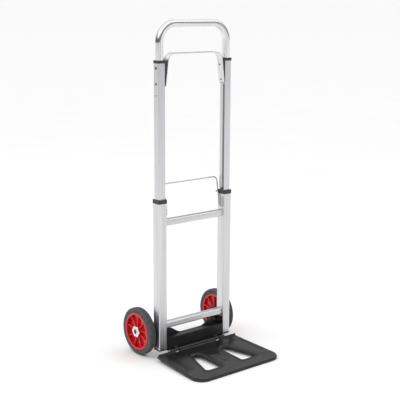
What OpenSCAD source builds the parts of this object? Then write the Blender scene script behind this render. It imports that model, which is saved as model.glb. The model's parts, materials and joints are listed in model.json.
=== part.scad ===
// Folding two-wheel hand truck: telescopic aluminium frame, hinged toe plate
// and a pair of swing-in wheels. Millimetres, +Z up, toe plate towards -Y.
// The origin is on the floor, below the middle of the whole truck.

/* [Overall] */
// Overall height with the handle pulled out
total_h = 1101; // [1050:1:1150]
// Width over the lower tubes
frame_w = 303; // [280:1:330]
// Distance of the frame tubes behind the middle of the truck
frame_y = 51.05; // [45:0.05:60]

/* [Tubes] */
// Lower tube width
low_w = 31; // [28:0.5:34]
// Lower tube depth
low_d = 34; // [30:0.5:38]
// Lower tube bottom end above the floor
low_z0 = 32.5; // [25:0.5:40]
// Lower tube top end above the floor
low_z1 = 533.5; // [500:0.5:560]
// Middle tube width
mid_w = 26.5; // [24:0.5:28]
// Middle tube depth
mid_d = 26; // [24:0.5:30]
// Middle tube bottom end above the floor
mid_z0 = 452; // [430:1:470]
// Middle tube top end above the floor
mid_z1 = 975; // [950:1:1000]
// Wall thickness of all tubes
wall = 1.5; // [1:0.1:2]

/* [Handle] */
// Handle section width
han_w = 22.6; // [20:0.1:23]
// Handle section depth
han_d = 22; // [20:0.1:22.4]
// Handle section corner radius
han_r = 8; // [6:0.5:10]
// Handle bend radius to the tube centre
han_bend = 60; // [50:1:75]
// Handle leg bottom end above the floor
han_z0 = 842; // [820:1:850]

/* [Bow and bail] */
// Flat bow strip width
bow_d = 27; // [22:0.5:30]
// Flat bow strip thickness
bow_t = 3; // [2:0.5:4]
// Wire bail diameter
wire_d = 4.4; // [4:0.1:5]

/* [Cross bars] */
// Cross bar height
bar_h = 21; // [18:0.5:25]
// Cross bar depth
bar_d = 23; // [20:0.5:26]
// Upper cross bar bottom face above the floor
bar_z_up = 447.3; // [430:0.1:460]
// Lower cross bar bottom face above the floor
bar_z_low = 99.3; // [95:0.1:110]

/* [Toe plate] */
// Half width at the hinge
plate_hw = 166; // [150:1:180]
// Length from the hinge edge to the front edge
plate_l = 231.4; // [200:0.1:260]
// Depth of the turned-down rim
plate_h = 10; // [8:0.5:14]
// Sheet thickness
plate_t = 2.5; // [2:0.5:3]
// Front corner radius
plate_r = 40; // [30:1:50]
// Downward slope of the plate towards the front
plate_tilt = 2.5; // [0:0.1:4]

/* [Wheels] */
// Wheel outside radius
wheel_r = 79.6; // [70:0.1:90]
// Tyre width
tyre_w = 27; // [24:0.5:34]
// Wheel centre behind the frame tubes
wheel_y = 73.6; // [65:0.1:80]
// Gap between a wheel and its frame tube
wheel_gap = 3.35; // [3:0.05:6]
// Rim radius at the tyre seat
rim_r = 63; // [58:0.5:66]
// Spokes in each wheel
spokes = 9; // [5:1:12]
// Axle radius
axle_r = 5; // [4:0.5:6]

/* [Hidden] */
tube_x = (frame_w - low_w) / 2;
in_low = frame_w / 2 - low_w;
in_mid = tube_x - mid_w / 2;
han_top = total_h - han_w / 2;
han_leg = han_top - han_bend;
bow_lean = 7;
bow_px = 110.4;
bow_pz = 974.2;
bow_r = 26;
bow_leg = 77;
rivet_z = [956, 907];
button_z = 867;
bail_x = in_low - 4;
bail_y = -3.25;
bail_z = 487.5;
bail_j = 6.75;
bail_lean = 9.5;
bail_leg = 80;
bail_bend = 15;
pin_z = 512;
rod_y = -25;
rod_z = 24;
rod_r = 3;
plate_y0 = -24;
plate_z0 = plate_l * sin(plate_tilt);
beta = 3;
piv_x = 141;
piv_y = 26;
piv_r = 3.5;
wheel_x = frame_w / 2 + wheel_gap + tyre_w / 2;
bolt_z = [46, 76];
bolt_y = 2;
$fn = 64;

// ---------- helpers ----------
module place() { translate([0, frame_y, 0]) children(); }
module side(s) { if (s < 0) mirror([1, 0, 0]) children(); else children(); }
module both() { for (s = [-1, 1]) side(s) children(); }

module rrect(w, d, r) {
  square([w - 2 * r, d], center = true);
  square([w, d - 2 * r], center = true);
  for (i = [-1, 1], j = [-1, 1])
    translate([i * (w / 2 - r), j * (d / 2 - r)]) circle(r);
}
module ring(w, d, r, t) {
  difference() {
    rrect(w, d, r);
    rrect(w - 2 * t, d - 2 * t, max(r - t, 0.5));
  }
}
module rod_x(x0, x1, r, y, z) {
  translate([x0, y, z]) rotate([0, 90, 0]) cylinder(r = r, h = x1 - x0);
}
module rod_y(y0, y1, r, x, z) {
  translate([x, y0, z]) rotate([-90, 0, 0]) cylinder(r = r, h = y1 - y0);
}
module block(x0, x1, y0, y1, z0, z1) {
  translate([x0, y0, z0]) cube([x1 - x0, y1 - y0, z1 - z0]);
}
// arc of a round wire in the YZ plane, angles counted from +Y towards +Z
module arc_yz(rr, r, a0, sweep) {
  rotate([90, 0, 90]) rotate([0, 0, a0]) rotate_extrude(angle = sweep)
    translate([rr, 0]) circle(r);
}
// arc of a round wire in the XZ plane, angles counted from +X towards +Z
module arc_xz(rr, r, a0, sweep) {
  rotate([90, 0, 0]) rotate([0, 0, a0]) rotate_extrude(angle = sweep)
    translate([rr, 0]) circle(r);
}

// ---------- frame ----------
module lower_tube() {
  difference() {
    translate([tube_x, 0, low_z0]) linear_extrude(low_z1 - low_z0) difference() {
      ring(low_w, low_d, 3, wall);
      for (i = [-1, 1], j = [-1, 1])
        translate([i * 5, j * low_d / 2]) circle(0.45);
    }
    rod_x(in_low - 1, in_low + 3, wire_d / 2 + 0.06, bail_y - bail_j, pin_z);
    for (z = bolt_z) rod_x(in_low - 1, in_low + 3, 3, bolt_y, z);
    for (z = [58, 101]) rod_y(low_d / 2 - 3, low_d / 2 + 1, 2, tube_x - 5, z);
  }
}
module lower_tube_left() color("silver") place() side(-1) lower_tube();
module lower_tube_right() color("silver") place() side(1) lower_tube();

module crossbar(z) {
  translate([-in_low, 1, z + bar_h / 2]) rotate([90, 0, 90])
    linear_extrude(2 * in_low) difference() {
      ring(bar_d, bar_h, 4, 2);
      for (i = [-3, 3]) translate([-bar_d / 2, i]) circle(0.6);
    }
}
module crossbar_upper() color("silver") place() crossbar(bar_z_up);
module crossbar_lower() color("silver") place() crossbar(bar_z_low);

module lower_collar() {
  difference() {
    union() {
      translate([tube_x, 0, low_z1 - 10]) linear_extrude(12.5)
        rrect(low_w + 3, low_d + 3, 4);
      rod_x(in_low - 7.5, in_low - 1, 2.2, 16, low_z1 - 3);
      // small guide wedge beside the middle tube
      translate([0, 0, low_z1 + 2.5]) rotate([90, 0, 0]) linear_extrude(10)
        polygon([[in_low - 1, 0], [in_mid - 0.3, 0], [in_mid - 0.3, 10]]);
    }
    translate([tube_x, 0, low_z1 - 11]) linear_extrude(11) rrect(low_w, low_d, 3);
    translate([tube_x, 0, low_z1 - 1]) linear_extrude(5)
      rrect(mid_w + 0.5, mid_d + 0.5, 3.2);
  }
}
module lower_collar_left() color([0.12, 0.12, 0.13]) place() side(-1) lower_collar();
module lower_collar_right() color([0.12, 0.12, 0.13]) place() side(1) lower_collar();

module tube_foot() {
  difference() {
    union() {
      translate([tube_x, 0, low_z0 - 5]) linear_extrude(5) rrect(low_w, low_d, 3);
      translate([tube_x, 0, low_z0 - 1]) linear_extrude(8)
        rrect(low_w - 2 * wall, low_d - 2 * wall, 1.5);
    }
    translate([tube_x, 0, low_z0 - 2]) linear_extrude(12)
      rrect(low_w - 8, low_d - 8, 1.5);
  }
}
module tube_foot_left() color([0.1, 0.1, 0.1]) place() side(-1) tube_foot();
module tube_foot_right() color([0.1, 0.1, 0.1]) place() side(1) tube_foot();

// Pressed saddle between the tubes: front panel, top web, raised rear ears,
// end flanges bolted to the tubes and two forward ears for the hinge rod.
module saddle() color([0.1, 0.1, 0.11]) place() {
  e = in_low;
  difference() {
    union() {
      block(-e + 1, e - 1, -16.5, -14, 24, 66);
      block(-e + 1, e - 1, -16.5, 11.5, 64.5, 67);
      translate([0, 11.5, 0]) rotate([90, 0, 0]) linear_extrude(2.5) {
        polygon([[-e + 1, 40], [e - 1, 40], [e - 1, 84], [112, 91], [90, 91], [80, 88],
          [56, 72], [44, 68], [-44, 68], [-56, 72], [-80, 88], [-90, 91], [-112, 91],
          [-e + 1, 84]]);
        for (s = [-1, 1]) translate([s * 90, 79]) circle(12);
        for (s = [-1, 1]) translate([s * (e - 9), 82]) circle(9);
      }
      both() {
        block(e - 2.5, e, -16.5, 11.5, 28, 91);
        // forward ear round the hinge rod
        translate([79.5, 0, 0]) rotate([90, 0, 90]) linear_extrude(14) {
          translate([rod_y, rod_z]) circle(5.6);
          polygon([[rod_y, rod_z + 5.6], [-15, 34], [-15, 24], [rod_y + 5.6, rod_z]]);
        }
      }
    }
    both() {
      for (z = bolt_z) rod_x(e - 4, e + 1, 3, bolt_y, z);
      rod_y(8, 13, 6, 92, 58);
      rod_y(8, 13, 3.5, 104, 80);
    }
    rod_x(-100, 100, rod_r, rod_y, rod_z);
  }
}
module saddle_bolts() color([0.6, 0.6, 0.62]) place() both() for (z = bolt_z) {
  rod_x(in_low - 2.5, in_low + 6, 3, bolt_y, z);
  difference() {
    rod_x(in_low - 6, in_low - 2.5, 5.5, bolt_y, z);
    translate([in_low - 7, bolt_y, z]) rotate([0, 90, 0]) cylinder(r = 2, h = 2.5, $fn = 6);
  }
}
module hinge_rod() color([0.55, 0.55, 0.57]) place() {
  rod_x(-120, 120, rod_r, rod_y, rod_z);
  for (s = [-1, 1]) side(s) rod_x(118.5, 121.5, 4.6, rod_y, rod_z);
}

module pivot_bracket() {
  difference() {
    union() {
      block(124, 149, 17, 19, 45.5, 113.5);
      for (z = [45.5, 109]) {
        block(piv_x - 7, piv_x + 7, 18, piv_y, z, z + 4.5);
        translate([piv_x, piv_y, z]) cylinder(r = 7, h = 4.5);
      }
    }
    translate([piv_x, piv_y, 40]) cylinder(r = piv_r, h = 80);
    for (z = [58, 101]) rod_y(16, 20, 2, tube_x - 5, z);
  }
}
module pivot_bracket_left() color([0.1, 0.1, 0.11]) place() side(-1) pivot_bracket();
module pivot_bracket_right() color([0.1, 0.1, 0.11]) place() side(1) pivot_bracket();
module bracket_rivets() color([0.6, 0.6, 0.6]) place() both() for (z = [58, 101]) {
  rod_y(14.2, 19, 2, tube_x - 5, z);
  difference() {
    translate([tube_x - 5, 17.6, z]) sphere(4);
    block(tube_x - 11, tube_x + 1, 10, 19, z - 6, z + 6);
  }
}
module pivot_pins() color([0.6, 0.6, 0.62]) place() both() {
  translate([piv_x, piv_y, 44]) cylinder(r = piv_r, h = 71.5);
  translate([piv_x, piv_y, 113.5]) cylinder(r = 5.5, h = 2.5);
  translate([piv_x, piv_y, 43]) cylinder(r = 4.4, h = 2.5);
}

// ---------- middle stage ----------
module mid_tube() {
  difference() {
    translate([tube_x, 0, mid_z0]) linear_extrude(mid_z1 - mid_z0) difference() {
      ring(mid_w, mid_d, 3, wall);
      translate([-mid_w / 2, -7]) square([1.6, 9], center = true);
      translate([0, -mid_d / 2]) circle(0.45);
    }
    for (z = rivet_z) rod_x(in_mid - 1, in_mid + 3, 2, 2, z);
    for (z = rivet_z) rod_x(in_mid + mid_w - 3, in_mid + mid_w + 1, 2, 0, z - 3);
    rod_x(in_mid + mid_w - 3, in_mid + mid_w + 1, 4, 0, button_z);
  }
}
module mid_tube_left() color("silver") place() side(-1) mid_tube();
module mid_tube_right() color("silver") place() side(1) mid_tube();

// Collar on the tube end with a tapered tongue behind the bow leg
module top_collar() {
  xw = bow_px + bow_t / 2 / cos(bow_lean);
  function sx(z) = xw + (bow_pz - z) * tan(bow_lean);
  difference() {
    union() {
      translate([tube_x, 0, mid_z1 - 7]) linear_extrude(9)
        rrect(mid_w + 3, mid_d + 3, 4);
      translate([0, 13, 0]) rotate([90, 0, 0]) linear_extrude(26)
        polygon([[sx(896), 896], [sx(973), 973], [in_mid, 973], [in_mid, 896]]);
    }
    translate([tube_x, 0, mid_z1 - 100]) linear_extrude(100) rrect(mid_w, mid_d, 3);
    translate([tube_x, 0, mid_z1 - 1]) linear_extrude(5)
      rrect(han_w + 0.7, han_d + 0.7, han_r);
    for (z = rivet_z) rod_x(in_mid - 16, in_mid + 1, 2, 2, z);
  }
}
module top_collar_left() color([0.12, 0.12, 0.13]) place() side(-1) top_collar();
module top_collar_right() color([0.12, 0.12, 0.13]) place() side(1) top_collar();

// Nylon guides that close the gap between middle and lower tubes
module mid_guides() color([0.2, 0.2, 0.2]) place() both()
  translate([tube_x, 0, mid_z0 - 3]) linear_extrude(3) difference() {
    rrect(low_w - 2 * wall - 0.4, low_d - 2 * wall - 0.4, 1.5);
    rrect(mid_w - 2 * wall, mid_d - 2 * wall, 1.5);
  }
module slide_strips() color([0.42, 0.42, 0.44]) place() both()
  block(in_mid + 0.1, in_mid + 0.8, -11.4, -2.6, mid_z0, 893);

// Region inside the bow's strip at i from its middle surface, in the XZ plane,
// with the legs i_leg longer than the strip
module bow_shape(i, i_leg) {
  zc = bow_pz - bow_r * sin(bow_lean);
  xc = bow_px - bow_r * cos(bow_lean);
  r = bow_r + i;
  t = [xc + r * cos(bow_lean), zc + r * sin(bow_lean)];
  down = [sin(bow_lean), -cos(bow_lean)];
  foot = t + down * (bow_leg + i_leg);
  inner = foot - [cos(bow_lean), sin(bow_lean)] * bow_t;
  half = concat(i > 0 ? [inner] : [], [foot, t, [xc, zc], [xc, zc + r]]);
  n = len(half) - 1;
  polygon(concat(half, [for (k = [n : -1 : 0]) [-half[k][0], half[k][1]]]));
  for (s = [-1, 1]) translate([s * xc, zc]) circle(r);
}
module bow() color([0.85, 0.85, 0.86]) place() difference() {
  rotate([90, 0, 0]) linear_extrude(bow_d, center = true) difference() {
    bow_shape(bow_t / 2, 0);
    bow_shape(-bow_t / 2, 2);
  }
  both() for (z = rivet_z) rod_x(bow_px - 4, in_mid + 1, 2, 2, z);
}
module bow_rivets() color([0.55, 0.55, 0.57]) place() both() for (z = rivet_z) {
  xs = bow_px + (bow_pz - z) * tan(bow_lean);
  difference() {
    union() {
      rod_x(xs - 3, in_mid + wall - 0.1, 2, 2, z);
      translate([xs, 2, z]) rotate([0, -bow_lean, 0]) translate([-1.5, 0, 0]) sphere(3.6);
    }
    translate([xs, 2, z]) rotate([0, -bow_lean, 0]) translate([-1.5, 0, 0])
      difference() {
        translate([0, -5, -5]) cube([5, 10, 10]);
        rotate([0, bow_lean, 0]) translate([-8, 0, 0]) rotate([0, 90, 0])
          cylinder(r = 2, h = 20);
      }
    translate([xs, 2, z]) rotate([0, -bow_lean, 0]) translate([-8, -5, -5])
      cube([4.3, 10, 10]);
  }
}
module side_rivets() color([0.3, 0.3, 0.32]) place() both() for (i = [0, 1]) {
  x = in_mid + mid_w;
  rod_x(x - wall + 0.1, x, 2, 0, rivet_z[i] - 3);
  rod_x(x, x + 1.2, [4.2, 3.4][i], 0, rivet_z[i] - 3);
}

// ---------- handle ----------
module handle_tube() color([0.88, 0.88, 0.9]) place() difference() {
  union() {
    for (s = [-1, 1]) {
      translate([s * tube_x, 0, han_z0]) linear_extrude(han_leg - han_z0)
        ring(han_w, han_d, han_r, wall);
      side(s) translate([tube_x - han_bend, 0, han_leg]) rotate([90, 0, 0])
        rotate_extrude(angle = 90) translate([han_bend, 0]) ring(han_w, han_d, han_r, wall);
    }
    translate([-(tube_x - han_bend), 0, han_top]) rotate([90, 0, 90])
      linear_extrude(2 * (tube_x - han_bend)) rotate(90) ring(han_w, han_d, han_r, wall);
  }
  both() rod_x(tube_x + 6, tube_x + 14, 3.26, 0, button_z);
}
module handle_guides() color([0.2, 0.2, 0.2]) place() both()
  translate([tube_x, 0, han_z0 - 4]) linear_extrude(4)
    rrect(mid_w - 2 * wall - 0.4, mid_d - 2 * wall - 0.4, 3);
module snap_button() {
  rod_x(tube_x + 7.2, tube_x + han_w / 2 - 0.1, 3.2, 0, button_z);
  rod_x(tube_x + 7.2, tube_x + han_w / 2 - wall - 0.3, 4.6, 0, button_z);
}
module snap_button_left() color([0.3, 0.3, 0.32]) place() side(-1) snap_button();
module snap_button_right() color([0.3, 0.3, 0.32]) place() side(1) snap_button();

// ---------- bail ----------
// One bent round wire. The bends are a hair thicker than the straights, which
// run 0.2 mm into them.
module bail_wire() color([0.6, 0.6, 0.62]) place() {
  r = wire_d / 2;
  q = r + 0.05;
  n = 0.2;
  e = 3.2;
  both() {
    // pin in the tube wall, elbow and short side of the hook
    rod_x(bail_x + e - n, in_low + wall, r, bail_y - bail_j, pin_z);
    translate([bail_x + e, bail_y - bail_j, pin_z - e]) arc_xz(e, q, 90, 90);
    translate([bail_x, bail_y - bail_j, bail_z - n])
      cylinder(r = r, h = pin_z - e - bail_z + 2 * n);
    translate([bail_x, bail_y, bail_z]) {
      arc_yz(bail_j, q, 180, 180 - bail_lean);
      rotate([-bail_lean, 0, 0]) {
        translate([0, bail_j, -n]) cylinder(r = r, h = bail_leg + 2 * n);
        translate([-bail_bend, bail_j, bail_leg]) arc_xz(bail_bend, q, 0, 90);
      }
    }
  }
  translate([0, bail_y, bail_z]) rotate([-bail_lean, 0, 0])
    rod_x(-bail_x + bail_bend - n, bail_x - bail_bend + n, r, bail_j, bail_leg + bail_bend);
}

// ---------- toe plate ----------
// outline in the plate's own plane, hinge edge at y = 0, front towards -y
module plate_outline(i) {
  r = plate_r - i;
  cx = plate_hw + (-plate_r + (plate_l - plate_r) * sin(beta)) / cos(beta);
  cy = -plate_l + plate_r;
  polygon([[-plate_hw + i, 2], [-cx - r * cos(beta), cy + r * sin(beta)], [-cx, cy],
    [-cx, cy - r], [cx, cy - r], [cx, cy], [cx + r * cos(beta), cy + r * sin(beta)],
    [plate_hw - i, 2]]);
  for (s = [-1, 1]) translate([s * cx, cy]) circle(r);
}
// tapered window, rounded at the narrow rear end, grown by g
module window(g) {
  r = 12 + g;
  translate([57.5, -76]) circle(r);
  translate([65, -78]) circle(r);
  polygon([[57.5, -76 + r], [65, -78 + r], [65 + r, -78], [104 + g, -176], [99 + g, -181 - g],
    [45 - g, -181 - g], [57.5 - r, -76]]);
}
module toe_plate() color([0.12, 0.12, 0.125]) place()
  translate([0, plate_y0, plate_z0]) rotate([plate_tilt, 0, 0]) {
    ax = [rod_y - plate_y0, rod_z - plate_z0];
    u = ax[0] * cos(plate_tilt) + ax[1] * sin(plate_tilt);
    w = -ax[0] * sin(plate_tilt) + ax[1] * cos(plate_tilt);
    difference() {
      union() {
        difference() {
          linear_extrude(plate_h) plate_outline(0);
          translate([0, 0, -1]) linear_extrude(plate_h - plate_t + 1) plate_outline(plate_t);
          block(-plate_hw - 4, plate_hw + 4, 0, 6, -1, plate_h - plate_t);
        }
        // raised rings round the windows and long ribs beside them
        both() translate([0, 0, plate_h - 1]) {
          linear_extrude(2.5) difference() { window(9); window(3); }
          linear_extrude(2) polygon([[151, -60], [158, -60], [166, -150], [159, -150]]);
        }
        translate([0, -125, plate_h - 1]) linear_extrude(2) rrect(16, 60, 7.9);
        // lips and hinge barrels
        both() block(97, plate_hw - 0.5, -8, -5.4, plate_h - 1, 15.5);
        both() block(97, 117.5, -6.4, 1, plate_h - 1, w);
        block(-78, 78, -6.4, 1, plate_h - 1, w);
        rod_x(-78, 78, 5.5, u, w);
        both() rod_x(97, 117.5, 5.5, u, w);
      }
      both() translate([0, 0, -1]) linear_extrude(20) window(0);
      rod_x(-119, 119, rod_r + 0.08, u, w);
      // slots for the ears of the saddle
      both() block(78, 97, -8, 4, -1, 20);
      // room for the hinge rod heads
      both() block(117.5, 124, -5.4, 6, plate_h - 4, 20);
    }
  }

// ---------- wheels ----------
module wheel_arm() {
  difference() {
    union() {
      translate([piv_x, piv_y, 50.5]) cylinder(r = 6, h = 58);
      block(145, 149.5, piv_y, 60, 56, 103);
      translate([145, 60, 0]) rotate([90, 0, 90]) linear_extrude(4.5)
        polygon([[-1, 56], [16, 61], [31, 70], [31, 89], [16, 98], [-1, 103]]);
      rod_x(145, 149.5, 16, wheel_y, wheel_r);
    }
    translate([piv_x, piv_y, 40]) cylinder(r = piv_r + 0.05, h = 80);
    rod_x(140, 152, axle_r, wheel_y, wheel_r);
    rod_x(140, 152, 7, 45, wheel_r);
  }
}
// The head keeps the wheel on
module axle() {
  rod_x(136.5, wheel_x + 14, axle_r, wheel_y, wheel_r);
  rod_x(wheel_x + 13.3, wheel_x + 16.5, axle_r + 2, wheel_y, wheel_r);
}
module axle_nut() {
  difference() {
    translate([138, wheel_y, wheel_r]) rotate([0, 90, 0]) cylinder(r = 9.2, h = 7, $fn = 6);
    rod_x(137, 146, axle_r, wheel_y, wheel_r);
  }
}
module axle_spacer() {
  difference() {
    rod_x(149.5, wheel_x - 13.2, 9, wheel_y, wheel_r);
    rod_x(149, wheel_x, axle_r, wheel_y, wheel_r);
  }
}
module lathe_x() {
  translate([wheel_x, wheel_y, wheel_r]) rotate([0, 90, 0]) rotate_extrude($fn = 96) children();
}
module tyre() {
  lathe_x() difference() {
    union() {
      translate([rim_r, -tyre_w / 2]) square([wheel_r - rim_r - 8, tyre_w]);
      translate([rim_r, -tyre_w / 2 + 8]) square([wheel_r - rim_r, tyre_w - 16]);
      for (s = [-1, 1]) translate([wheel_r - 8, s * (tyre_w / 2 - 8)]) circle(8);
    }
    for (s = [-1, 1]) translate([wheel_r, s * 5]) square([1.6, 1.2], center = true);
  }
}
module rim() {
  lathe_x() {
    translate([rim_r - 4, -12.5]) square([4, 25]);
    translate([rim_r - 7, 9]) square([4, 4]);
    translate([rim_r - 7, -13]) square([4, 4]);
    translate([14, -4]) square([rim_r - 17, 4]);
    translate([7.5, -12.8]) square([9.5, 25.6]);
    translate([22, -4]) square([2.5, 8]);
  }
  for (k = [0 : spokes - 1]) translate([wheel_x, wheel_y, wheel_r])
    rotate([k * 360 / spokes, 0, 0]) translate([-1, -1.7, 16]) cube([11, 3.4, 42]);
}
module hub_bush() {
  lathe_x() translate([axle_r + 0.05, -13.2]) square([7.5 - axle_r - 0.05, 26.2]);
}
module hub_cap() {
  difference() {
    translate([wheel_x + 13, wheel_y, wheel_r]) rotate([0, 90, 0]) {
      cylinder(r = 15, h = 2.5);
      for (k = [0 : 5]) rotate([0, 0, k * 60]) translate([14.5, 0, 0]) cylinder(r = 5.5, h = 2.5);
      cylinder(r = 10.3, h = 4.5);
    }
    rod_x(wheel_x + 10, wheel_x + 20, axle_r + 2.5, wheel_y, wheel_r);
  }
}
module wheel_arm_left() color([0.1, 0.1, 0.11]) place() side(-1) wheel_arm();
module wheel_arm_right() color([0.1, 0.1, 0.11]) place() side(1) wheel_arm();
module axle_left() color([0.45, 0.45, 0.47]) place() side(-1) axle();
module axle_right() color([0.45, 0.45, 0.47]) place() side(1) axle();
module axle_nut_left() color([0.6, 0.6, 0.62]) place() side(-1) axle_nut();
module axle_nut_right() color([0.6, 0.6, 0.62]) place() side(1) axle_nut();
module axle_spacer_left() color([0.6, 0.6, 0.62]) place() side(-1) axle_spacer();
module axle_spacer_right() color([0.6, 0.6, 0.62]) place() side(1) axle_spacer();
module tyre_left() color([0.25, 0.25, 0.26]) place() side(-1) tyre();
module tyre_right() color([0.25, 0.25, 0.26]) place() side(1) tyre();
module rim_left() color([0.85, 0.08, 0.1]) place() side(-1) rim();
module rim_right() color([0.85, 0.08, 0.1]) place() side(1) rim();
module hub_bush_left() color([0.8, 0.8, 0.78]) place() side(-1) hub_bush();
module hub_bush_right() color([0.8, 0.8, 0.78]) place() side(1) hub_bush();
module hub_cap_left() color([0.85, 0.85, 0.86]) place() side(-1) hub_cap();
module hub_cap_right() color([0.85, 0.85, 0.86]) place() side(1) hub_cap();

lower_tube_left();
lower_tube_right();
crossbar_upper();
crossbar_lower();
lower_collar_left();
lower_collar_right();
tube_foot_left();
tube_foot_right();
saddle();
saddle_bolts();
hinge_rod();
pivot_bracket_left();
pivot_bracket_right();
bracket_rivets();
pivot_pins();
mid_tube_left();
mid_tube_right();
top_collar_left();
top_collar_right();
mid_guides();
slide_strips();
bow();
bow_rivets();
side_rivets();
handle_tube();
handle_guides();
snap_button_left();
snap_button_right();
bail_wire();
toe_plate();
wheel_arm_left();
axle_left();
axle_nut_left();
axle_spacer_left();
tyre_left();
rim_left();
hub_bush_left();
hub_cap_left();
wheel_arm_right();
axle_right();
axle_nut_right();
axle_spacer_right();
tyre_right();
rim_right();
hub_bush_right();
hub_cap_right();
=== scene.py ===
# Looks of the folding hand truck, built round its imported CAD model.
# Metres, +Z up, toe plate towards -Y, the floor at z = 0.
import json
import math

import bmesh
import bpy
from mathutils import Matrix, Vector


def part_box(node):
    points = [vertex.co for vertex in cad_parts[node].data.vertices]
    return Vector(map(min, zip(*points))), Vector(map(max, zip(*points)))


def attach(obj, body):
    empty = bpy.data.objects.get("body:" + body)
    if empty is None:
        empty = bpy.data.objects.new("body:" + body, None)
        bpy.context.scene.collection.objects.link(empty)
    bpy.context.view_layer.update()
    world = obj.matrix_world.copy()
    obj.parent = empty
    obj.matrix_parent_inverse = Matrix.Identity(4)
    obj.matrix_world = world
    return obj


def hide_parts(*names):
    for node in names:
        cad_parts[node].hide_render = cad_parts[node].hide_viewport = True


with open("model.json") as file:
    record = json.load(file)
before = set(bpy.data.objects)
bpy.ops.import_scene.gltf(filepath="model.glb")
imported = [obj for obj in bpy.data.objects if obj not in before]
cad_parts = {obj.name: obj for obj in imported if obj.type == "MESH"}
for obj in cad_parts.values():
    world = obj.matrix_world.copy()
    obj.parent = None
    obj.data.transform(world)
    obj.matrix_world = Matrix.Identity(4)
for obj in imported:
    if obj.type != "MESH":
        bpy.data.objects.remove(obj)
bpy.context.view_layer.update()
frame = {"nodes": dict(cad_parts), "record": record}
nodes = frame["nodes"]
MM = 0.001
SIDES = (("left", -1), ("right", 1))
SPOKES = 9


# ---------- mesh helpers ----------
def piece(name, bm, material, body, slot, *replaced, smooth_angle=35):
    """Turns a bmesh into a shown piece that rides on a body and stands for CAD nodes."""
    bmesh.ops.remove_doubles(bm, verts=bm.verts, dist=1e-6)
    bmesh.ops.recalc_face_normals(bm, faces=bm.faces)
    mesh = bpy.data.meshes.new(name)
    bm.to_mesh(mesh)
    bm.free()
    mesh.materials.append(material)
    for face in mesh.polygons:
        face.use_smooth = True
    obj = bpy.data.objects.new(name, mesh)
    bpy.context.scene.collection.objects.link(obj)
    split = obj.modifiers.new("sharp edges", "EDGE_SPLIT")
    split.split_angle = math.radians(smooth_angle)
    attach(obj, body)
    if replaced:
        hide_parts(*replaced)
    return obj


def skin(bm, rings, closed_path=False):
    """Joins rings of points, each a closed loop with the same count; an open path gets two caps."""
    rows = [[bm.verts.new(p) for p in ring] for ring in rings]
    pairs = list(zip(rows, rows[1:]))
    if closed_path:
        pairs.append((rows[-1], rows[0]))
    for a, b in pairs:
        for i in range(len(a)):
            j = (i + 1) % len(a)
            bm.faces.new((a[i], a[j], b[j], b[i]))
    if not closed_path:
        bm.faces.new(rows[0][::-1])
        bm.faces.new(rows[-1])


def lathe(bm, profile, centre, steps=96):
    """Turns a closed (along x, radius) profile about the X axis through centre."""
    rings = []
    for k in range(steps):
        a = 2 * math.pi * k / steps
        rings.append([centre + Vector((x, r * math.cos(a), r * math.sin(a))) for x, r in profile])
    skin(bm, rings, closed_path=True)


def round_section(width, depth, radius, corner_steps):
    """Rounded rectangle as (across, along-depth) pairs."""
    points = []
    for i, (sx, sy) in enumerate(((1, 1), (-1, 1), (-1, -1), (1, -1))):
        for k in range(corner_steps + 1):
            a = math.radians(90 * i + 90 * k / corner_steps)
            points.append((sx * (width / 2 - radius) + radius * math.cos(a),
                           sy * (depth / 2 - radius) + radius * math.sin(a)))
    return points


def sweep(bm, path, section, depth_axis):
    """Runs a section along a path that lies in one plane, square to depth_axis."""
    rings = []
    for i, p in enumerate(path):
        before = path[max(i - 1, 0)]
        after = path[min(i + 1, len(path) - 1)]
        along = (after - before).normalized()
        across = along.cross(depth_axis).normalized()
        rings.append([p + across * a + depth_axis * b for a, b in section])
    skin(bm, rings)
    wrap_lengthwise(bm, len(section))


def wrap_lengthwise(bm, count):
    """UV map for a swept tube in metres: u round the section, v along the path."""
    uv = bm.loops.layers.uv.new("drawn")
    bm.verts.ensure_lookup_table()
    bm.verts.index_update()
    length = [0.0]
    for i in range(count, len(bm.verts), count):
        length.append(length[-1] + (bm.verts[i].co - bm.verts[i - count].co).length)
    girth = sum((bm.verts[i].co - bm.verts[i - 1].co).length for i in range(count))
    for face in bm.faces:
        columns = [loop.vert.index % count for loop in face.loops]
        seam = max(columns) - min(columns) > 1
        for loop, column in zip(face.loops, columns):
            u = count if seam and column == 0 else column
            loop[uv].uv = (u / count * girth, length[loop.vert.index // count])


def arc(centre, u, v, radius, start, end, steps):
    """Points on an arc in the plane of u and v, angles in degrees."""
    points = []
    for k in range(steps + 1):
        a = math.radians(start + (end - start) * k / steps)
        points.append(centre + u * (radius * math.cos(a)) + v * (radius * math.sin(a)))
    return points


def soften(node, width):
    """Rounds the sharp edges of a carried-over CAD node, with a modifier only."""
    obj = nodes[node]
    weld = obj.modifiers.new("weld", "WELD")
    weld.merge_threshold = 1e-6
    bevel = obj.modifiers.new("soft edges", "BEVEL")
    bevel.width = width
    bevel.segments = 3
    bevel.limit_method = "ANGLE"
    bevel.angle_limit = math.radians(50)
    bevel.harden_normals = True


# ---------- materials ----------
# Pointiness that starts to show wear, and that is fully worn
WORN_FROM = 0.52
WORN_TO = 0.62


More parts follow.
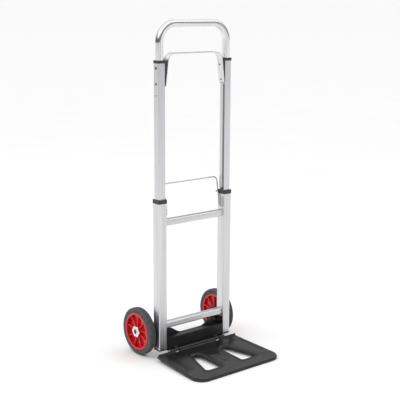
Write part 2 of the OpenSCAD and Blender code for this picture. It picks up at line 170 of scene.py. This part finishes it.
class Nodes:
    """Small helper that wires one procedural material."""

    def __init__(self, name, metallic, roughness, space="Object"):
        self.material = bpy.data.materials.new(name)
        self.material.use_nodes = True
        self.tree = self.material.node_tree
        self.shader = self.tree.nodes["Principled BSDF"]
        self.shader.inputs["Metallic"].default_value = metallic
        self.shader.inputs["Roughness"].default_value = roughness
        self.coords = self.tree.nodes.new("ShaderNodeTexCoord").outputs[space]

    def link(self, out, to):
        self.tree.links.new(out, to)

    def noise(self, scale, stretch=(1, 1, 1), detail=4.0):
        mapping = self.tree.nodes.new("ShaderNodeMapping")
        mapping.inputs["Scale"].default_value = stretch
        self.link(self.coords, mapping.inputs["Vector"])
        tex = self.tree.nodes.new("ShaderNodeTexNoise")
        tex.inputs["Scale"].default_value = scale
        tex.inputs["Detail"].default_value = detail
        self.link(mapping.outputs["Vector"], tex.inputs["Vector"])
        return tex.outputs["Fac"]

    def ramp(self, fac, low, high, at=(0.3, 0.7)):
        ramp = self.tree.nodes.new("ShaderNodeValToRGB")
        ramp.color_ramp.elements[0].position = at[0]
        ramp.color_ramp.elements[1].position = at[1]
        ramp.color_ramp.elements[0].color = (*low, 1)
        ramp.color_ramp.elements[1].color = (*high, 1)
        self.link(fac, ramp.inputs["Fac"])
        return ramp.outputs["Color"]

    def span(self, fac, low, high):
        node = self.tree.nodes.new("ShaderNodeMapRange")
        node.inputs["To Min"].default_value = low
        node.inputs["To Max"].default_value = high
        self.link(fac, node.inputs["Value"])
        return node.outputs["Result"]

    def colour(self, out):
        self.link(out, self.shader.inputs["Base Color"])

    def rough(self, fac, low, high):
        self.link(self.span(fac, low, high), self.shader.inputs["Roughness"])

    def bump(self, fac, strength, distance):
        bump = self.tree.nodes.new("ShaderNodeBump")
        bump.inputs["Strength"].default_value = strength
        bump.inputs["Distance"].default_value = distance
        self.link(fac, bump.inputs["Height"])
        self.link(bump.outputs["Normal"], self.shader.inputs["Normal"])

    def worn_edges(self, base, bare, amount):
        """Lightens convex edges, broken up by noise."""
        geometry = self.tree.nodes.new("ShaderNodeNewGeometry")
        edge = self.tree.nodes.new("ShaderNodeMapRange")
        edge.inputs["From Min"].default_value = WORN_FROM
        edge.inputs["From Max"].default_value = WORN_TO
        self.link(geometry.outputs["Pointiness"], edge.inputs["Value"])
        broken = self.tree.nodes.new("ShaderNodeMath")
        broken.operation = "MULTIPLY"
        self.link(edge.outputs["Result"], broken.inputs[0])
        self.link(self.span(self.noise(260), 0.2 * amount, amount), broken.inputs[1])
        mix = self.tree.nodes.new("ShaderNodeMix")
        mix.data_type = "RGBA"
        self.link(broken.outputs[0], mix.inputs["Factor"])
        # sockets 6 and 7 are the two colours of the mix, and output 2 is its colour
        self.link(base, mix.inputs[6])
        mix.inputs[7].default_value = (*bare, 1)
        return mix.outputs[2]


def extruded_aluminium(name, low, high, stretch):
    """Drawn profile: fine grain along its length, and faint lengthwise streaks in its colour that are
    painted reflection.
    """
    m = Nodes(name, 1.0, 0.3)
    grain = m.noise(900, stretch, 3)
    # painted reflection: lighter and darker lengthwise streaks in the colour
    m.colour(m.ramp(m.noise(70, stretch, 5), low, high))
    m.rough(grain, 0.24, 0.36)
    m.bump(grain, 0.12, 0.0002)
    return m.material


def drawn_along_bend(name, low, high, rough, grain_depth):
    """Bent drawn stock: soft streaks that follow the bend, painted reflection in the colour and real in the
    roughness, and a fine grain, from the swept UV map.
    """
    m = Nodes(name, 1.0, 0.12, "UV")
    painted_reflection_and_roughness_streaks = m.noise(230, (1, 0.012, 1), 3)
    # painted reflection: bright and dark streaks along the bend in the colour; the same streaks vary the
    # roughness
    m.colour(m.ramp(painted_reflection_and_roughness_streaks, low, high, (0.34, 0.58)))
    m.rough(painted_reflection_and_roughness_streaks, *rough)
    m.bump(m.noise(1500, (1, 0.02, 1), 2), grain_depth, 0.0001)
    return m.material


def coated_steel(name, low, high, rough, grain, depth, specular):
    """Powder coat: orange peel, soft sheen and lighter worn edges."""
    m = Nodes(name, 0.0, 0.4)
    m.shader.inputs["Specular IOR Level"].default_value = specular
    base = m.ramp(m.noise(34, detail=6), low, high)
    m.colour(m.worn_edges(base, (0.07, 0.07, 0.072), 0.6))
    m.rough(m.noise(120), *rough)
    m.bump(m.noise(grain), depth, 0.0003)
    return m.material


def plain_metal(name, low, high, rough, metallic=1.0):
    """Plated or bare metal with faint mottling."""
    m = Nodes(name, metallic, 0.3)
    m.colour(m.ramp(m.noise(240, detail=6), low, high))
    m.rough(m.noise(420), *rough)
    m.bump(m.noise(1100), 0.08, 0.0002)
    return m.material


def moulded(name, low, high, rough, grain=1500, depth=0.15):
    """Moulded plastic or rubber with a fine surface grain."""
    m = Nodes(name, 0.0, 0.5)
    m.colour(m.ramp(m.noise(90, detail=5), low, high))
    m.rough(m.noise(300), *rough)
    m.bump(m.noise(grain), depth, 0.0002)
    return m.material


ALONG_Z = (1, 1, 0.03)
ALONG_X = (0.03, 1, 1)
MAT = {
    "alu_lower": extruded_aluminium("drawn aluminium", (0.60, 0.60, 0.615), (0.73, 0.73, 0.745),
                                    ALONG_Z),
    "alu_bars": extruded_aluminium("drawn bar", (0.60, 0.60, 0.61), (0.72, 0.72, 0.73), ALONG_X),
    "alu_mid": extruded_aluminium("drawn inner tube", (0.62, 0.62, 0.645), (0.74, 0.74, 0.765),
                                  ALONG_Z),
    "alu_polished": drawn_along_bend("polished aluminium", (0.52, 0.52, 0.53), (0.84, 0.84, 0.85),
                                     (0.17, 0.08), 0.03),
    "alu_bow": drawn_along_bend("satin strip", (0.60, 0.60, 0.61), (0.74, 0.74, 0.75),
                                (0.3, 0.2), 0.06),
    "black_plastic": moulded("black moulded plastic", (0.022, 0.022, 0.024), (0.04, 0.04, 0.043),
                             (0.36, 0.5)),
    "black_steel": coated_steel("black coated steel", (0.009, 0.009, 0.0095), (0.018, 0.018, 0.019),
                                (0.26, 0.38), 700, 0.12, 0.4),
    "plate_black": coated_steel("black coated plate", (0.006, 0.006, 0.0063), (0.013, 0.013, 0.0133),
                                (0.24, 0.36), 620, 0.1, 0.35),
    "zinc": plain_metal("zinc plate", (0.26, 0.26, 0.275), (0.42, 0.42, 0.44), (0.28, 0.45)),
    "axle_steel": plain_metal("dark axle steel", (0.03, 0.03, 0.032), (0.08, 0.08, 0.085),
                              (0.35, 0.5), 0.7),
    "wire_steel": plain_metal("plated wire", (0.42, 0.42, 0.44), (0.58, 0.58, 0.6), (0.2, 0.34)),
    "dark_rivet": plain_metal("dark rivet", (0.07, 0.07, 0.075), (0.14, 0.14, 0.15), (0.4, 0.55), 0.6),
    "nylon": moulded("dark nylon", (0.07, 0.07, 0.07), (0.11, 0.11, 0.11), (0.45, 0.6)),
    # painted shade: the grey slide strip stands where the inner tubes' grooves show only shade and dark
    # reflection
    "slide_grey": moulded("grey strip for painted groove shade", (0.14, 0.14, 0.15), (0.2, 0.2, 0.21), (0.4, 0.55)),
    "tyre": moulded("tyre rubber", (0.05, 0.052, 0.056), (0.085, 0.088, 0.094),
                    (0.6, 0.78), 1900, 0.35),
    "rim_red": moulded("red moulded rim", (0.58, 0.008, 0.014), (0.72, 0.016, 0.024),
                       (0.2, 0.34), 900, 0.05),
    "bush_nylon": moulded("pale nylon", (0.66, 0.65, 0.61), (0.78, 0.77, 0.73), (0.45, 0.6)),
    "cap_silver": plain_metal("bright cap", (0.74, 0.74, 0.76), (0.88, 0.88, 0.9), (0.14, 0.26)),
}
slot_of = {row["node"]: row["material_slot"] for row in frame["record"]["subparts"]}
for node, obj in nodes.items():
    material = MAT["alu_bars"] if node.startswith("crossbar") else MAT[slot_of[node]]
    for material_slot in obj.material_slots:
        material_slot.material = material


# ---------- carried-over CAD nodes ----------
SOFT_EDGES = {"pivot_bracket": 0.5, "wheel_arm": 0.7, "lower_collar": 0.5, "top_collar": 0.5,
              "tube_foot": 0.5, "axle_nut": 0.4}
soften("saddle", 0.8 * MM)
for part, width in SOFT_EDGES.items():
    for side, _ in SIDES:
        soften(part + "_" + side, width * MM)


# ---------- wheels ----------
def tyre(side):
    """Solid rubber tyre with a shallow groove in each sidewall and three in the tread."""
    low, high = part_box("tyre_" + side)
    centre = (low + high) / 2
    outer = (high.z - low.z) / 2
    half = (high.x - low.x) / 2
    seat = outer - 16.6 * MM
    shoulder = 7.5 * MM
    flank = [(-half + 1.2 * MM, seat), (-half, seat + 1.4 * MM)]
    # sidewall with one shallow groove
    flank += [(-half, seat + 3.2 * MM), (-half, seat + 3.8 * MM), (-half + 0.5 * MM, seat + 4.3 * MM),
              (-half + 0.5 * MM, seat + 5.4 * MM), (-half, seat + 6.0 * MM)]
    for k in range(9):
        a = math.radians(180 - 90 * k / 8)
        flank.append((-half + shoulder + shoulder * math.cos(a),
                      outer - shoulder + shoulder * math.sin(a)))
    # three shallow tread grooves
    tread = []
    for x in (-3.9 * MM, 0.0, 3.9 * MM):
        tread += [(x - 0.7 * MM, outer), (x - 0.4 * MM, outer - 1.0 * MM),
                  (x + 0.4 * MM, outer - 1.0 * MM), (x + 0.7 * MM, outer)]
    profile = flank + tread + [(-x, r) for x, r in reversed(flank)]
    bm = bmesh.new()
    lathe(bm, profile, centre, 128)
    piece("tyre_rubber_" + side, bm, MAT["tyre"], "wheel_" + side, "tyre", "tyre_" + side)


def rim(side, sign):
    """Dished rim: rolled lip, thin web, tapered spokes on both faces and a hub boss."""
    low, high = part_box("rim_" + side)
    centre = (low + high) / 2
    radius = (high.z - low.z) / 2
    half = (high.x - low.x) / 2
    bm = bmesh.new()
    barrel = [(-half, radius - 7 * MM), (-half + 0.6 * MM, radius - 7.6 * MM),
              (-half + 3.4 * MM, radius - 6.6 * MM),
              (-half + 4.4 * MM, radius - 4 * MM), (half - 4.4 * MM, radius - 4 * MM),
              (half - 3.4 * MM, radius - 6.6 * MM), (half - 0.6 * MM, radius - 7.6 * MM),
              (half, radius - 7 * MM), (half, radius - 1.2 * MM), (half - 0.8 * MM, radius - 0.1 * MM),
              (-half + 0.8 * MM, radius - 0.1 * MM), (-half, radius - 1.2 * MM)]
    lathe(bm, barrel, centre)
    web = [(-4 * MM, 14 * MM), (0.0, 14 * MM), (0.0, radius - 3.6 * MM), (-4 * MM, radius - 3.6 * MM)]
    lathe(bm, [(sign * x, r) for x, r in web], centre)
    boss = [(-half + 0.3 * MM, 7.6 * MM), (half - 0.3 * MM, 7.6 * MM), (half - 0.3 * MM, 15 * MM),
            (half - 1.5 * MM, 16.6 * MM), (3 * MM, 18 * MM), (-3 * MM, 18 * MM),
            (-half + 1.5 * MM, 16.6 * MM), (-half + 0.3 * MM, 15 * MM)]
    lathe(bm, boss, centre)
    # radius, half width and height of a spoke along its length
    stations = ((15, 3.0, 9.5), (24, 2.2, 9.2), (38, 1.8, 8.6), (50, 2.0, 9.2), (58, 3.0, 10.0))
    for k in range(SPOKES):
        turn = Matrix.Rotation(2 * math.pi * k / SPOKES, 4, "X")
        for base, way in ((-1.0, 1), (-3.0, -1)):
            rings = []
            for r, w, h in stations:
                top = base + way * h
                edge = top - way * 0.8
                section = [(base, -w), (edge, -w), (top, -w + 0.8), (top, w - 0.8), (edge, w), (base, w)]
                rings.append([centre + turn @ Vector((sign * x * MM, y * MM, r * MM)) for x, y in section])
            skin(bm, rings)
    piece("rim_moulding_" + side, bm, MAT["rim_red"], "wheel_" + side, "rim_red", "rim_" + side)


def hub_cap(side, sign):
    """Six-lobed bright cap with a raised collar round the axle."""
    low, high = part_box("hub_cap_" + side)
    centre = (low + high) / 2
    half = (high.x - low.x) / 2
    steps = 144
    lobe_mean, lobe_swell, collar = 18.5, 1.5, 10.3

    def outline(scale, x, lobed):
        points = []
        for k in range(steps):
            a = 2 * math.pi * k / steps
            r = (lobe_mean + lobe_swell * math.cos(6 * a) if lobed else collar) * scale
            points.append(centre + Vector((sign * x, r * math.cos(a) * MM, r * math.sin(a) * MM)))
        return points

    bm = bmesh.new()
    top = half * 2
    rings = [outline(0.735, -half, False), outline(0.99, -half, True), outline(1.0, -half + 0.8 * MM, True),
             outline(0.97, -half + top * 0.5, True), outline(0.92, -half + top * 0.56, True),
             outline(1.1, -half + top * 0.56, False), outline(1.0, -half + top * 0.66, False),
             outline(1.0, half - 0.5 * MM, False), outline(0.93, half, False),
             outline(0.78, half, False), outline(0.735, half - 0.8 * MM, False)]
    skin(bm, rings, closed_path=True)
    piece("hub_cap_lobed_" + side, bm, MAT["cap_silver"], "wheel_" + side, "cap_silver", "hub_cap_" + side)


for side, sign in SIDES:
    tyre(side)
    rim(side, sign)
    hub_cap(side, sign)


# ---------- handle and bow ----------
def handle():
    """Polished tube bent into an upside-down U."""
    low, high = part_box("handle_tube")
    y = (low.y + high.y) / 2
    width, depth, radius = 22.6 * MM, 22 * MM, 8 * MM
    bend = 60 * MM
    x = (high.x - low.x - width) / 2
    top = high.z - width / 2
    up, right, back = Vector((0, 0, 1)), Vector((1, 0, 0)), Vector((0, 1, 0))
    path = [Vector((-x, y, low.z))]
    path += arc(Vector((-x + bend, y, top - bend)), right, up, bend, 180, 90, 24)
    path += arc(Vector((x - bend, y, top - bend)), right, up, bend, 90, 0, 24)
    path.append(Vector((x, y, low.z)))
    bm = bmesh.new()
    sweep(bm, path, round_section(width, depth, radius, 10), back)
    piece("handle_bent_tube", bm, MAT["alu_polished"], "handle", "alu_polished", "handle_tube",
          smooth_angle=60)


def bow():
    """Flat strip bent into an upside-down U, legs leaning out towards their feet."""
    low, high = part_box("bow")
    thick, depth, bend, leg = 3 * MM, high.y - low.y, 26 * MM, 77 * MM
    lean_degrees = 7
    lean = math.radians(lean_degrees)
    y = (low.y + high.y) / 2
    centre_z = high.z - bend - thick / 2
    knee_x = high.x - math.cos(lean) * thick / 2 - math.sin(lean) * leg
    centre_x = knee_x - bend * math.cos(lean)
    up, right, back = Vector((0, 0, 1)), Vector((1, 0, 0)), Vector((0, 1, 0))
    curve = arc(Vector((centre_x, y, centre_z)), right, up, bend, 90, lean_degrees, 14)
    foot = curve[-1] + (right * math.sin(lean) - up * math.cos(lean)) * leg
    half = curve + [foot]
    path = [Vector((-p.x, p.y, p.z)) for p in reversed(half)] + half
    bm = bmesh.new()
    sweep(bm, path, round_section(thick, depth, 1.2 * MM, 4), back)
    piece("bow_bent_strip", bm, MAT["alu_bow"], "mid_stage", "alu_bow", "bow", smooth_angle=60)


handle()
bow()


# ---------- toe plate ----------
# Millimetres in the plate's own plane
PLATE_LENGTH = 231.4
PLATE_HALF = 166.0
PLATE_TILT = math.radians(2.5)
PLATE_FLARE = math.radians(3)
FRONT_RADIUS = 40.0
FACE = 10.0
SHEET = 2.5
# slot for a saddle ear: inner edge, outer edge, depth
EAR_SLOT = (78.0, 97.0, 8.0)
HINGE_TO_EDGE = 1.0
MIDDLE_BARREL_END = 77.8
SIDE_BARREL_START = 97.2
SIDE_BARREL_END = 117.3
HINGE = next(j for j in frame["record"]["behaviour"]["joints"] if j["name"] == "toe_fold")["pos_m"]


def plate_point(x, v, w):
    """From the plate's own plane (mm; v front to back, zero at its rear edge, w up) to the model."""
    corner_z = PLATE_LENGTH * math.sin(PLATE_TILT) * MM
    y = v * math.cos(PLATE_TILT) - w * math.sin(PLATE_TILT)
    z = v * math.sin(PLATE_TILT) + w * math.cos(PLATE_TILT)
    return Vector((x * MM, HINGE[1] + (HINGE_TO_EDGE + y) * MM, corner_z + z * MM))


def corner_loop(corners, grow, steps=8):
    """Closed outline of arcs given as (x, v, radius, start angle, end angle)."""
    points = []
    for x, v, radius, start, end in corners:
        for k in range(steps + 1):
            a = math.radians(start + (end - start) * k / steps)
            points.append((x + (radius + grow) * math.cos(a), v + (radius + grow) * math.sin(a)))
    return points


def plate_outline(inset):
    """Flared outline with round front corners and two slots for the saddle's ears."""
    flare = math.degrees(PLATE_FLARE)
    widening = (PLATE_LENGTH - FRONT_RADIUS) * math.sin(PLATE_FLARE)
    cx = PLATE_HALF + (-FRONT_RADIUS + widening) / math.cos(PLATE_FLARE)
    cv = -PLATE_LENGTH + FRONT_RADIUS
    inner, outer, deep = EAR_SLOT
    rear = -min(inset, 2.0)
    right = [(inner - inset, rear), (inner - inset, -deep - inset), (outer + inset, -deep - inset),
             (outer + inset, rear), (PLATE_HALF - inset, rear)]
    front_right = corner_loop([(cx, cv, FRONT_RADIUS, flare, -90)], -inset, 16)
    half = right + front_right
    return half + [(-x, v) for x, v in reversed(half)]


def window(side):
    """Returns a function that draws a window's outline, widened by grow."""
    arcs = [(65, -78, 12, 0, 90), (57.5, -76, 12, 90, 180), (48, -178, 3, 180, 270), (98, -175, 6, 270, 360)]
    return lambda grow: [(side * x, v) for x, v in corner_loop(arcs, grow)]


def side_rib(side):
    """Returns a function that draws the outline of the rib beside a window, widened by grow."""
    arcs = [(156.5, -50, 1.5, 0, 90), (152.5, -50, 1.5, 90, 180),
            (160.5, -148, 1.5, 180, 270), (164.5, -148, 1.5, 270, 360)]
    return lambda grow: [(side * x, v) for x, v in corner_loop(arcs, grow, 5)]


def centre_pad(grow):
    """Outline of the raised pad in the middle, widened by grow."""
    return corner_loop([(0, -103, 7.9, 0, 180), (0, -147, 7.9, 180, 360)], grow, 12)


def toe_plate():
    """Pressed plate: turned-down rim, two windows, raised ribs and pad, solid hinge barrels and lips."""
    bm = bmesh.new()

    def stack(outline, profile):
        """Rings at (offset, height) down a profile, joined; returns the first and last."""
        rows = [[bm.verts.new(plate_point(x, v, w)) for x, v in outline(offset)] for offset, w in profile]
        for a, b in zip(rows, rows[1:]):
            for i in range(len(a)):
                j = (i + 1) % len(a)
                bm.faces.new((a[i], a[j], b[j], b[i]))
        return rows[0], rows[-1]

    def edges_of(loop):
        return [bm.edges.get((vert, loop[(i + 1) % len(loop)])) for i, vert in enumerate(loop)]

    edge_round = [(4 - 4 * math.sin(math.radians(a)), FACE - 4 + 4 * math.cos(math.radians(a)))
                  for a in range(0, 91, 15)]
    rim_fold = edge_round + [(0, 0), (SHEET, 0), (SHEET, 5), (4.5, FACE - SHEET)]
    top_out, under_out = stack(plate_outline, rim_fold)
    field, under = edges_of(top_out), edges_of(under_out)
    # a raised bead round each window, then the window's edge turned down
    lip = [(12, FACE), (10.8, FACE + 0.4), (9.6, FACE + 1.9), (8.4, FACE + 2.8), (7.0, FACE + 3.0),
           (5.8, FACE + 2.6), (4.6, FACE + 1.2), (3.4, FACE + 0.2), (1.6, FACE - 0.4), (0.4, FACE - 1.4),
           (0, FACE - 2.6), (0, FACE - 4.5), (SHEET, FACE - 4.5), (SHEET, FACE - SHEET)]
    raised = [(2.4, FACE), (1.7, FACE + 0.3), (0.6, FACE + 1.6), (-0.4, FACE + 2.1), (-0.9, FACE + 2.2)]
    for side in (-1, 1):
        first, last = stack(window(side), lip)
        field += edges_of(first)
        under += edges_of(last)
    for outline in (side_rib(-1), side_rib(1), centre_pad):
        first, last = stack(outline, raised)
        field += edges_of(first)
        bm.faces.new(last)
    bmesh.ops.triangle_fill(bm, edges=field, use_beauty=True)
    bmesh.ops.triangle_fill(bm, edges=under, use_beauty=True)

    # hinge barrels and upstanding lips, as profiles run along x
    # centre of the hinge rod
    rod_v, rod_w = -0.39, 13.94
    barrel = [(-9.5, FACE - 0.6), (-8, FACE + 0.5), (-6.6, FACE + 2)]
    barrel += [(rod_v + 5.5 * math.cos(math.radians(a)), rod_w + 5.5 * math.sin(math.radians(a)))
               for a in range(180, -31, -15)]
    barrel += [(1.0, FACE - 1), (-4, FACE - 1.2)]
    flange = [(-10.5, FACE - 0.6), (-9, FACE + 0.4), (-8.1, FACE + 1.8), (-8, 14.8),
              (-7.5, 15.4), (-5.9, 15.4), (-5.4, 14.8), (-5.4, FACE - 1)]
    flange_end = PLATE_HALF - 0.6
    runs = [(barrel, -MIDDLE_BARREL_END, MIDDLE_BARREL_END),
            (barrel, SIDE_BARREL_START, SIDE_BARREL_END),
            (barrel, -SIDE_BARREL_END, -SIDE_BARREL_START),
            (flange, SIDE_BARREL_START, flange_end),
            (flange, -flange_end, -SIDE_BARREL_START)]
    for profile, start, end in runs:
        skin(bm, [[plate_point(x, v, w) for v, w in profile] for x in (start, end)])
    piece("toe_plate_pressed", bm, MAT["plate_black"], "toe_plate", "plate_black", "toe_plate",
          smooth_angle=40)


toe_plate()


# ---------- stage, light and camera ----------
FLOOR_REACH = 400.0
CAMERA_LENS = 83.39
CAMERA_ANGLES = (-39.22, 12.01, 0.31)
CAMERA_DISTANCE = 3.0732
CAMERA_TARGET_X = 0.030
CAMERA_TARGET_Z = 0.5126
SKY_LOW = 0.13
SKY_STRENGTH = 1.2
SKY_SHOWN = 0.96


def stage_floor():
    """Pale floor, wide enough for its far edge to sit near the horizon."""
    bm = bmesh.new()
    bmesh.ops.create_grid(bm, x_segments=1, y_segments=1, size=FLOOR_REACH)
    mesh = bpy.data.meshes.new("floor")
    bm.to_mesh(mesh)
    bm.free()
    m = Nodes("pale floor", 0.0, 0.9)
    m.colour(m.ramp(m.noise(3), (0.93, 0.93, 0.93), (0.95, 0.95, 0.95)))
    mesh.materials.append(m.material)
    floor = bpy.data.objects.new("floor", mesh)
    bpy.context.scene.collection.objects.link(floor)


def area_light(name, place, target, size, power):
    """Rectangular light of the given size in metres and power in watts, aimed at the target."""
    data = bpy.data.lights.new(name, "AREA")
    data.shape = "RECTANGLE"
    data.size, data.size_y = size
    data.energy = power
    light = bpy.data.objects.new(name, data)
    light.location = place
    light.rotation_euler = (Vector(target) - Vector(place)).to_track_quat("-Z", "Y").to_euler()
    bpy.context.scene.collection.objects.link(light)


def camera():
    """Stands in front and to the left, a little above, level but for a slight roll."""
    data = bpy.data.cameras.new("camera")
    data.sensor_width = 36
    data.lens = CAMERA_LENS
    data.clip_end = 2 * FLOOR_REACH
    cam = bpy.data.objects.new("camera", data)
    azimuth, pitch, roll = (math.radians(v) for v in CAMERA_ANGLES)
    back = Vector((math.sin(azimuth) * math.cos(pitch),
                   -math.cos(azimuth) * math.cos(pitch),
                   math.sin(pitch)))
    right = (-back).cross(Vector((0, 0, 1))).normalized()
    up = right.cross(-back)
    r = right * math.cos(roll) + up * math.sin(roll)
    u = up * math.cos(roll) - right * math.sin(roll)
    low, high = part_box("lower_tube_left")
    target = Vector((CAMERA_TARGET_X, (low.y + high.y) / 2, CAMERA_TARGET_Z))
    turn = Matrix((r, u, back)).transposed().to_4x4()
    cam.matrix_world = Matrix.Translation(target + back * CAMERA_DISTANCE) @ turn
    bpy.context.scene.collection.objects.link(cam)
    bpy.context.scene.camera = cam


def studio_sky():
    """Soft overhead light that dims towards the horizon, like a studio with a big softbox above."""
    world = bpy.data.worlds.new("studio")
    world.use_nodes = True
    tree = world.node_tree
    split = tree.nodes.new("ShaderNodeSeparateXYZ")
    tree.links.new(tree.nodes.new("ShaderNodeTexCoord").outputs["Generated"], split.inputs["Vector"])
    ramp = tree.nodes.new("ShaderNodeValToRGB")
    ramp.color_ramp.interpolation = "EASE"
    ramp.color_ramp.elements[0].position = 0.12
    ramp.color_ramp.elements[0].color = (SKY_LOW, SKY_LOW, SKY_LOW, 1)
    ramp.color_ramp.elements[1].position = 0.62
    ramp.color_ramp.elements[1].color = (1, 1, 1, 1)
    tree.links.new(split.outputs["Z"], ramp.inputs["Fac"])
    background = tree.nodes["Background"]
    tree.links.new(ramp.outputs["Color"], background.inputs["Color"])
    background.inputs["Strength"].default_value = SKY_STRENGTH
    # seen directly, the sky above the floor's edge is as pale as the floor
    pale = tree.nodes.new("ShaderNodeBackground")
    pale.inputs["Color"].default_value = (SKY_SHOWN, SKY_SHOWN, SKY_SHOWN, 1)
    shown = tree.nodes.new("ShaderNodeMixShader")
    tree.links.new(tree.nodes.new("ShaderNodeLightPath").outputs["Is Camera Ray"], shown.inputs[0])
    tree.links.new(background.outputs[0], shown.inputs[1])
    tree.links.new(pale.outputs[0], shown.inputs[2])
    tree.links.new(shown.outputs[0], tree.nodes["World Output"].inputs["Surface"])
    bpy.context.scene.world = world


stage_floor()
camera()
studio_sky()
area_light("key", (-2.6, 1.2, 3.0), (0, 0, 0.4), (2.0, 2.0), 20)
area_light("fill", (2.6, -2.4, 2.4), (0, 0, 0.5), (2.0, 2.0), 9)
bpy.context.scene.view_settings.view_transform = "Standard"
